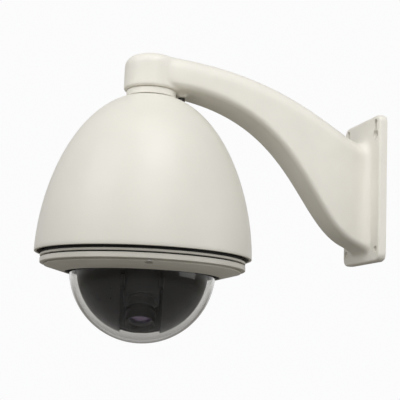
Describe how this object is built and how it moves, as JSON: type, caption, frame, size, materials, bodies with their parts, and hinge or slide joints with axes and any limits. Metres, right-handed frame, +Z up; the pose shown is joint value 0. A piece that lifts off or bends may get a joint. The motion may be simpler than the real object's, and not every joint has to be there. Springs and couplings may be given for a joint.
{
  "type": "ptz camera",
  "caption": "Pan-tilt-zoom dome camera hanging from a gooseneck wall arm, with a sunshield, a clear lower bubble and a motorised camera inside.",
  "frame": {"origin": "centre of the wall plate's back face", "axes": "+Y into the wall, +Z up, the dome hangs on the -Y side"},
  "size_m": [0.25, 0.409, 0.3386],
  "materials": {
    "ivory_paint": "satin powder coat",
    "ivory_plastic": "satin moulding",
    "black_rubber": "matte",
    "black_plastic": "gloss",
    "dark_plastic": "fine texture",
    "aluminium": "as cast",
    "steel": "plain",
    "zinc_steel": "zinc plated",
    "circuit_board": "solder mask",
    "copper": "varnished winding",
    "white_nylon": "plain",
    "lens_glass": "coated",
    "clear_acrylic": "clear polished"
  },
  "bodies": {
    "housing": {"wall_arm": "ivory_paint", "wall_gasket": "black_rubber", "neck_lock_screw": "steel", "pipe_nipple": "zinc_steel", "lock_collar": "ivory_paint", "neck_gasket": "black_rubber", "sunshield": "ivory_plastic", "inner_housing": "aluminium", "pipe_locknut": "zinc_steel", "shield_spacer": "black_rubber", "mounting_ring": "ivory_paint", "ring_seal": "black_rubber", "trim_ring": "ivory_paint", "trim_screw_1": "steel", "trim_screw_2": "steel", "trim_screw_3": "steel", "bubble_gasket": "black_rubber", "dome_bubble": "clear_acrylic", "bubble_clamp": "dark_plastic", "chassis_plate": "zinc_steel", "chassis_post_1": "aluminium", "chassis_post_2": "aluminium", "chassis_post_3": "aluminium", "power_board": "circuit_board", "power_transformer": "copper", "board_post_1": "aluminium", "board_post_2": "aluminium", "board_post_3": "aluminium", "heater_block": "aluminium", "fan_frame": "dark_plastic", "pan_bearing": "steel", "slip_ring": "dark_plastic", "pan_motor": "dark_plastic", "pan_belt": "black_rubber"},
    "pan": {"pan_shaft": "steel", "pan_pulley": "white_nylon", "turntable": "zinc_steel", "liner": "black_plastic", "yoke_arm_right": "zinc_steel", "yoke_arm_left": "zinc_steel", "tilt_bearing_right": "steel", "tilt_bearing_left": "steel", "tilt_motor": "dark_plastic", "tilt_belt": "black_rubber", "drive_board": "circuit_board"},
    "tilt": {"camera_housing": "dark_plastic", "camera_rear_cover": "dark_plastic", "lens_barrel": "dark_plastic", "lens_hood": "black_plastic", "front_lens": "lens_glass", "sensor_board": "circuit_board", "trunnion_right": "steel", "trunnion_left": "steel", "tilt_pulley": "white_nylon"},
    "pan_pinion": {"pan_pinion": "steel"},
    "tilt_pinion": {"tilt_pinion": "steel"},
    "fan_impeller": {"fan_impeller": "black_plastic"},
    "zoom_lens_group": {"zoom_lens_group": "lens_glass"},
    "focus_lens_group": {"focus_lens_group": "lens_glass"},
    "cut_filter": {"cut_filter": "lens_glass"}
  },
  "joints": [
    {"name": "pan", "type": "hinge", "parent": "housing", "child": "pan", "pos_m": [0, -0.284, 0], "axis": [0, 0, 1], "continuous": true},
    {"name": "pan_motor_spin", "type": "hinge", "parent": "housing", "child": "pan_pinion", "pos_m": [-0.062, -0.284, 0], "axis": [0, 0, 1], "continuous": true},
    {"name": "tilt", "type": "hinge", "parent": "pan", "child": "tilt", "pos_m": [0, -0.284, -0.12893], "axis": [0.225, 0.9744, 0], "range_deg": [-60, 30]},
    {"name": "tilt_motor_spin", "type": "hinge", "parent": "pan", "child": "tilt_pinion", "pos_m": [-0.04092, -0.27455, -0.12093], "axis": [0.225, 0.9744, 0], "range_deg": [-180, 90]},
    {"name": "fan_spin", "type": "hinge", "parent": "housing", "child": "fan_impeller", "pos_m": [0, -0.218, 0], "axis": [0, 0, 1], "continuous": true},
    {"name": "zoom", "type": "slide", "parent": "tilt", "child": "zoom_lens_group", "axis": [0.4872, -0.1125, -0.866], "range_m": [0, 0.01]},
    {"name": "focus", "type": "slide", "parent": "tilt", "child": "focus_lens_group", "axis": [0.4872, -0.1125, -0.866], "range_m": [-0.003, 0.003]},
    {"name": "filter_shift", "type": "slide", "parent": "tilt", "child": "cut_filter", "axis": [0.225, 0.9744, 0], "range_m": [0, 0.012]}
  ],
  "couplings": [
    {"joint": "pan_motor_spin", "follows": "pan", "ratio": 4},
    {"joint": "tilt_motor_spin", "follows": "tilt", "ratio": 3}
  ]
}
